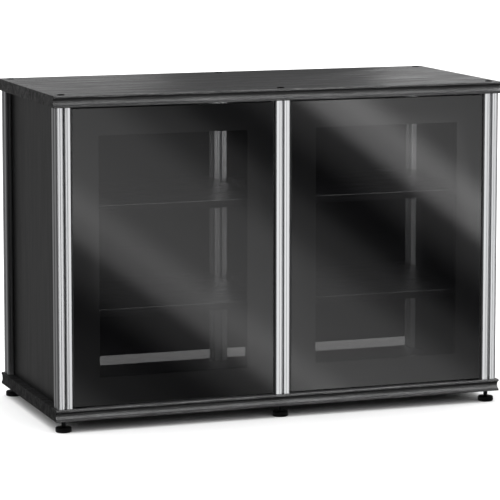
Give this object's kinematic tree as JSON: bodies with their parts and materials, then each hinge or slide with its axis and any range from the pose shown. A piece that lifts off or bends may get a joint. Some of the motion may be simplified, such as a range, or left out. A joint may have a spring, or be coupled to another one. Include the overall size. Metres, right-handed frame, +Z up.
{
  "type": "media cabinet",
  "caption": "Low media cabinet: coved boards on slotted aluminium posts, shelves behind smoked glass pivot doors, levelling feet",
  "frame": {"origin": "on the floor under the middle of the cabinet", "axes": "+X along the width towards the right-hand bay seen from the front, +Y from the doors to the back, +Z up"},
  "size_m": [1.13, 0.505, 0.792],
  "materials": {
    "laminate": "black wood-grain laminate, satin",
    "panel": "black wood-grain laminate, satin",
    "post_aluminium": "satin clear anodised extrusion",
    "smoked_glass": "smoked float glass, polished",
    "door_frame": "black lacquered wood fibre board, satin",
    "hardware": "black powder coat",
    "pivot_steel": "bright zinc plate",
    "foot_plastic": "black moulded plastic"
  },
  "bodies": {
    "cabinet": {"top_board": "laminate", "bottom_board": "laminate", "shelf_left_lower": "laminate", "shelf_left_upper": "laminate", "shelf_right_lower": "laminate", "shelf_right_upper": "laminate", "post_front_left": "post_aluminium", "post_front_centre": "post_aluminium", "post_front_right": "post_aluminium", "post_rear_left": "post_aluminium", "post_rear_centre": "post_aluminium", "post_rear_right": "post_aluminium", "side_panel_left": "panel", "side_panel_right": "panel", "back_panel_left": "panel", "back_panel_right": "panel", "rail_left_lower_outer": "hardware", "rail_left_lower_inner": "hardware", "rail_left_upper_outer": "hardware", "rail_left_upper_inner": "hardware", "rail_right_lower_outer": "hardware", "rail_right_lower_inner": "hardware", "rail_right_upper_outer": "hardware", "rail_right_upper_inner": "hardware", "foot_socket_front_left": "hardware", "foot_socket_front_centre": "hardware", "foot_socket_front_right": "hardware", "foot_socket_rear_left": "hardware", "foot_socket_rear_centre": "hardware", "foot_socket_rear_right": "hardware", "pivot_bottom_left": "pivot_steel", "pivot_bottom_right": "pivot_steel", "pivot_top_left": "pivot_steel", "pivot_top_right": "pivot_steel", "cap_bolt_front_left": "foot_plastic", "cap_bolt_front_centre": "foot_plastic", "cap_bolt_front_right": "foot_plastic", "cap_bolt_rear_left": "foot_plastic", "cap_bolt_rear_centre": "foot_plastic", "cap_bolt_rear_right": "foot_plastic", "latch_body_left": "foot_plastic", "latch_body_right": "foot_plastic"},
    "left_door": {"door_glass_left": "smoked_glass", "door_frame_left": "door_frame", "bush_bottom_left": "foot_plastic", "bush_top_left": "foot_plastic", "strike_plate_left": "pivot_steel"},
    "right_door": {"door_glass_right": "smoked_glass", "door_frame_right": "door_frame", "bush_bottom_right": "foot_plastic", "bush_top_right": "foot_plastic", "strike_plate_right": "pivot_steel"},
    "left_plunger": {"latch_plunger_left": "foot_plastic"},
    "right_plunger": {"latch_plunger_right": "foot_plastic"},
    "front_left_foot": {"foot_front_left": "foot_plastic"},
    "front_centre_foot": {"foot_front_centre": "foot_plastic"},
    "front_right_foot": {"foot_front_right": "foot_plastic"},
    "rear_left_foot": {"foot_rear_left": "foot_plastic"},
    "rear_centre_foot": {"foot_rear_centre": "foot_plastic"},
    "rear_right_foot": {"foot_rear_right": "foot_plastic"}
  },
  "joints": [
    {"name": "left_door_hinge", "type": "hinge", "parent": "cabinet", "child": "left_door", "pos_m": [-0.501, -0.2306, 0.06], "axis": [0, 0, -1], "range_deg": [0, 110]},
    {"name": "right_door_hinge", "type": "hinge", "parent": "cabinet", "child": "right_door", "pos_m": [0.501, -0.2306, 0.06], "axis": [0, 0, 1], "range_deg": [0, 110]},
    {"name": "left_plunger_slide", "type": "slide", "parent": "cabinet", "child": "left_plunger", "axis": [0, -1, 0], "range_m": [0, 0.009]},
    {"name": "right_plunger_slide", "type": "slide", "parent": "cabinet", "child": "right_plunger", "axis": [0, -1, 0], "range_m": [0, 0.009]},
    {"name": "front_left_foot_turn", "type": "hinge", "parent": "cabinet", "child": "front_left_foot", "pos_m": [-0.541, -0.227, 0], "axis": [0, 0, 1], "continuous": true},
    {"name": "front_centre_foot_turn", "type": "hinge", "parent": "cabinet", "child": "front_centre_foot", "pos_m": [0, -0.227, 0], "axis": [0, 0, 1], "continuous": true},
    {"name": "front_right_foot_turn", "type": "hinge", "parent": "cabinet", "child": "front_right_foot", "pos_m": [0.541, -0.227, 0], "axis": [0, 0, 1], "continuous": true},
    {"name": "rear_left_foot_turn", "type": "hinge", "parent": "cabinet", "child": "rear_left_foot", "pos_m": [-0.541, 0.227, 0], "axis": [0, 0, 1], "continuous": true},
    {"name": "rear_centre_foot_turn", "type": "hinge", "parent": "cabinet", "child": "rear_centre_foot", "pos_m": [0, 0.227, 0], "axis": [0, 0, 1], "continuous": true},
    {"name": "rear_right_foot_turn", "type": "hinge", "parent": "cabinet", "child": "rear_right_foot", "pos_m": [0.541, 0.227, 0], "axis": [0, 0, 1], "continuous": true}
  ],
  "couplings": [
    {"joint": "left_plunger_slide", "follows": "left_door_hinge", "m_per_rad": 0.00468},
    {"joint": "right_plunger_slide", "follows": "right_door_hinge", "m_per_rad": 0.00468}
  ]
}
